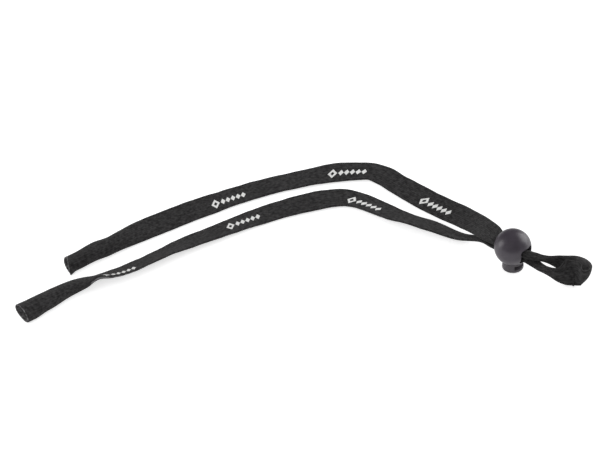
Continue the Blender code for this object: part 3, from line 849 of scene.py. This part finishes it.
# %% [markdown]
# ## The webbing's finish
# The webbing is knitted from matt black polyester. Its stitches lean in turn to the left and
# to the right, which gives fine lengthwise columns of small V's. The cloth attribute says
# where on the webbing a point lies, in millimetres, so the pattern needs no unwrapping and
# bends with the cloth. A knit made of bump alone would look new and flat, so noise adds loose
# fibre and pilling, which show more than the stitches do.

# %% Knitted black webbing
COLUMN, ROW = 0.95, 0.62               # width of a column and height of a stitch, in mm
DARK_YARN, LIGHT_YARN = (0.0105, 0.0100, 0.0103, 1), (0.049, 0.0475, 0.0485, 1)
FIBRES, PILLS, PATCHES = 5.0, 0.85, 0.09              # how many to a millimetre
STREAKS = (0.7, 1.15, 1.0)             # a pill is a little longer than it is wide

webbing = Finish("knitted black webbing", (0.03, 0.03, 0.03), 0.82)
cloth = webbing.kept("cloth")
along, across, face = webbing.parts(cloth)

columns = across / COLUMN
lean = abs(columns.fraction() - 0.5)
stitch = (along / ROW + lean).ridge() * columns.ridge()

fibre = webbing.noise(cloth, FIBRES, 3.0)
streaked = webbing.node("ShaderNodeVectorMath", {"operation": "MULTIPLY"},
                        (cloth, STREAKS), output="Vector")
pilling = webbing.noise(streaked, PILLS, 2.5)
patches = webbing.noise(cloth, PATCHES, 2.0)
tone = stitch * 0.35 + fibre * 0.3 + pilling * 2.4 + patches * 0.4 - 1.2
yarn = webbing.mix(tone, DARK_YARN, LIGHT_YARN)
print("stitches across the webbing:", round(WEBBING_WIDTH / COLUMN))

# %% Painted light: paler knit inside the tubes, and on the inside of the loop's fold
# The paler colour on the loop's fold is painted light, not a change in the knit.
TUBE_PAINTED_LIGHT, FOLD_PAINTED_LIGHT = (0.26, 0.255, 0.26, 1), (0.17, 0.165, 0.168, 1)
FOLD_ALONG, FOLD_REACH = LOOP_ALONG + 37.0, 12.0      # the middle of the paler fold, its reach

from_print, beside, side = webbing.parts(webbing.kept("print"))
# Painted light inside the tubes: the knit there is mixed towards a pale colour, standing in for
# light that reaches into the hollow.
inside = (side < -0.5) * abs(side)
yarn = webbing.mix(inside * (pilling * 2.4 - 0.75), yarn, TUBE_PAINTED_LIGHT)

# Painted light on the inside of the loop at its fold: one face of the knit is mixed towards a
# pale colour, where the fold lies in shade.
fold_share = 1 - abs(along - FOLD_ALONG) / FOLD_REACH
fold_painted_light = fold_share.at_least(0.0) * (face > 0.0)
yarn = webbing.mix(fold_painted_light * (0.2 + pilling * 0.6), yarn, FOLD_PAINTED_LIGHT)
print(f"paler fold: {2 * FOLD_REACH:.0f} mm of webbing")

# %% The prints: a large open lozenge and a row of small ones, in white ink
PITCH, ROW_START, ROW_END = 2.9, -1.5, 3.5            # of the small ones, in pitches
LOZENGE_HEIGHT, LOZENGE_LEAN = 1.9, 0.35              # half its height, and how it slants
LOZENGE_EDGE = 0.95                                   # less than 1 leaves room between them
LEADER = (-7.2, 2.4, 2.8)                             # the largest: middle, half sizes
OUTLINE = 0.42                                        # how far out its outline starts
WHITE_INK = (0.86, 0.86, 0.85, 1)

height = across - beside
slanted = from_print + height * LOZENGE_LEAN
leader = abs(slanted - LEADER[0]) / LEADER[1] + abs(height) / LEADER[2]
row = slanted / PITCH
cell = abs((row + 0.5).fraction() - 0.5) * 2 + abs(height) / LOZENGE_HEIGHT
in_row = (row > ROW_START) * (row < ROW_END)
lozenges = (leader < 1.0) * (leader > OUTLINE) + in_row * (cell < LOZENGE_EDGE)
ink = lozenges * (side > 0.5) * (0.9 + stitch * 0.1)
print(f"each print: {ROW_END * PITCH - LEADER[0] + LEADER[1]:.0f} mm long")

# %% The webbing's shader
webbing.set("Base Color", webbing.mix(ink, yarn, WHITE_INK))
webbing.set("Roughness", 0.9 - ink * 0.3)
webbing.bump(stitch + fibre * 0.3 + pilling * 0.4, 0.10 * MM, 0.8)
webbing.set("Sheen Weight", 0.05)
webbing.set("Sheen Roughness", 0.5)
webbing.set("Specular IOR Level", 0.2)
webbing.cover(*leg_pieces.values(), loop_piece)

# %% [markdown]
# ## Moulded plastic and spring steel
# The ball and the button are moulded in charcoal plastic with a satin face. A spark-eroded
# mould leaves a fine even grain, and handling polishes it unevenly, so roughness and height
# both vary. Noise in the object's own coordinates does this on any shape, with no unwrapping.
# The spring inside is drawn steel wire, which has a metal's reflection and dull marks.


# %% Satin charcoal plastic
GRAIN, CLOUDS = 4200.0, 260.0          # how many to a metre
PALER, DEEPER = 1.35, 0.75             # how far the clouds shift the colour


def satin_plastic(name, colour, roughness):
    finish = Finish(name, colour, roughness)
    where = finish.node("ShaderNodeTexCoord", output="Object")
    grain = finish.noise(where, GRAIN, 2.0)
    clouds = finish.noise(where, CLOUDS, 3.0)
    pale = tuple(PALER * part for part in colour)
    deep = tuple(DEEPER * part for part in colour)
    finish.set("Base Color", finish.mix(clouds, (*deep, 1), (*pale, 1)))
    finish.set("Roughness", roughness - 0.08 + clouds * 0.12 + grain * 0.06)
    finish.bump(grain, 0.012 * MM, 0.6)
    return finish


satin_plastic("satin charcoal plastic", (0.053, 0.045, 0.057), 0.36).cover(ball)
satin_plastic("satin button plastic", (0.054, 0.048, 0.056), 0.42).cover(button)

# %% Drawn spring steel
DULL_STEEL, BRIGHT_STEEL = (0.42, 0.42, 0.44, 1), (0.66, 0.66, 0.67, 1)
MARKS = 1500.0                         # how many to a metre
steel = Finish("drawn spring steel", (0.55, 0.55, 0.57), 0.3, metallic=1.0)
marks = steel.noise(steel.node("ShaderNodeTexCoord", output="Object"), MARKS, 3.0)
steel.set("Base Color", steel.mix(marks, DULL_STEEL, BRIGHT_STEEL))
steel.set("Roughness", 0.22 + marks * 0.2)
steel.bump(marks, 0.01 * MM, 0.5)
steel.cover(spring)

# %% [markdown]
# ## The studio
# Two soft boxes at the sides give the ball its two broad soft highlights. A fill light from
# the front and an even white surround light the cloth, and both are all but left out of the
# ball's reflections. The floor is white and gives off a little light of its own, towards the
# camera and in reflections only, so that it reads as white paper and still keeps a soft
# shadow. More light on the whole scene would whiten the floor too, but it would wash out the
# black cloth.

# %% The floor
FLOOR_SIZE, FLOOR_GAP = 6.0, 0.0001
SEEN_GLOW, MIRRORED_GLOW = 0.62, 0.35  # the floor's own light, to the camera and in gloss
low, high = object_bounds()
floor_mesh = bmesh.new()
bmesh.ops.create_grid(floor_mesh, x_segments=1, y_segments=1, size=FLOOR_SIZE / 2)
floor = plain_object("floor", floor_mesh)
floor.location = ((low.x + high.x) / 2, (low.y + high.y) / 2, low.z - FLOOR_GAP)

paper = Finish("white paper", (0.86, 0.86, 0.86), 0.9)
paper.set("Specular IOR Level", 0.1)
seen = paper.node("ShaderNodeLightPath", output="Is Camera Ray")
mirrored = paper.node("ShaderNodeLightPath", output="Is Glossy Ray")
paper.set("Emission Color", seen * SEEN_GLOW + mirrored * MIRRORED_GLOW)
paper.set("Emission Strength", 1.0)
paper.cover(floor)

# %% The surround
SEEN, DIFFUSE_LIGHT, REFLECTED = 1.0, 0.38, 0.04      # its strength by the kind of ray
world = bpy.data.worlds.new("studio")
world.use_nodes = True
bpy.context.scene.world = world
surround = NodeTree(world.node_tree)
sky = surround.nodes["Background"]
seen = surround.node("ShaderNodeLightPath", output="Is Camera Ray")
diffuse = surround.node("ShaderNodeLightPath", output="Is Diffuse Ray")
unseen = diffuse * DIFFUSE_LIGHT + (1 - diffuse) * REFLECTED
surround.fill(sky.inputs["Color"], (1, 1, 1, 1))
surround.fill(sky.inputs["Strength"], seen * SEEN + (1 - seen) * unseen)
print(f"surround: {DIFFUSE_LIGHT} on the cloth, {REFLECTED} in gloss")


# %% The lamps
def soft_box(name, direction, distance, size, power, mirrored=True):
    """A rectangular lamp that faces the lock from a direction."""
    lamp = bpy.data.lights.new(name, "AREA")
    lamp.shape = "RECTANGLE"
    lamp.size, lamp.size_y = size
    lamp.energy = power
    made = bpy.data.objects.new(name, lamp)
    way = Vector(direction).normalized()
    made.location = way * distance
    made.rotation_euler = way.to_track_quat("Z", "Y").to_euler()
    made.visible_glossy = mirrored
    bpy.context.scene.collection.objects.link(made)
    print(f"{name}: {power} W")


soft_box("right box", (0.93, -0.05, 0.42), 0.9, (0.8, 0.7), 6.4)
soft_box("left box", (-0.76, 0.64, 0.20), 1.0, (0.45, 0.75), 4.2)
soft_box("front fill", (-0.75, -0.30, 0.60), 1.1, (1.0, 0.8), 4.0, mirrored=False)
bpy.context.scene.view_settings.view_transform = "Standard"
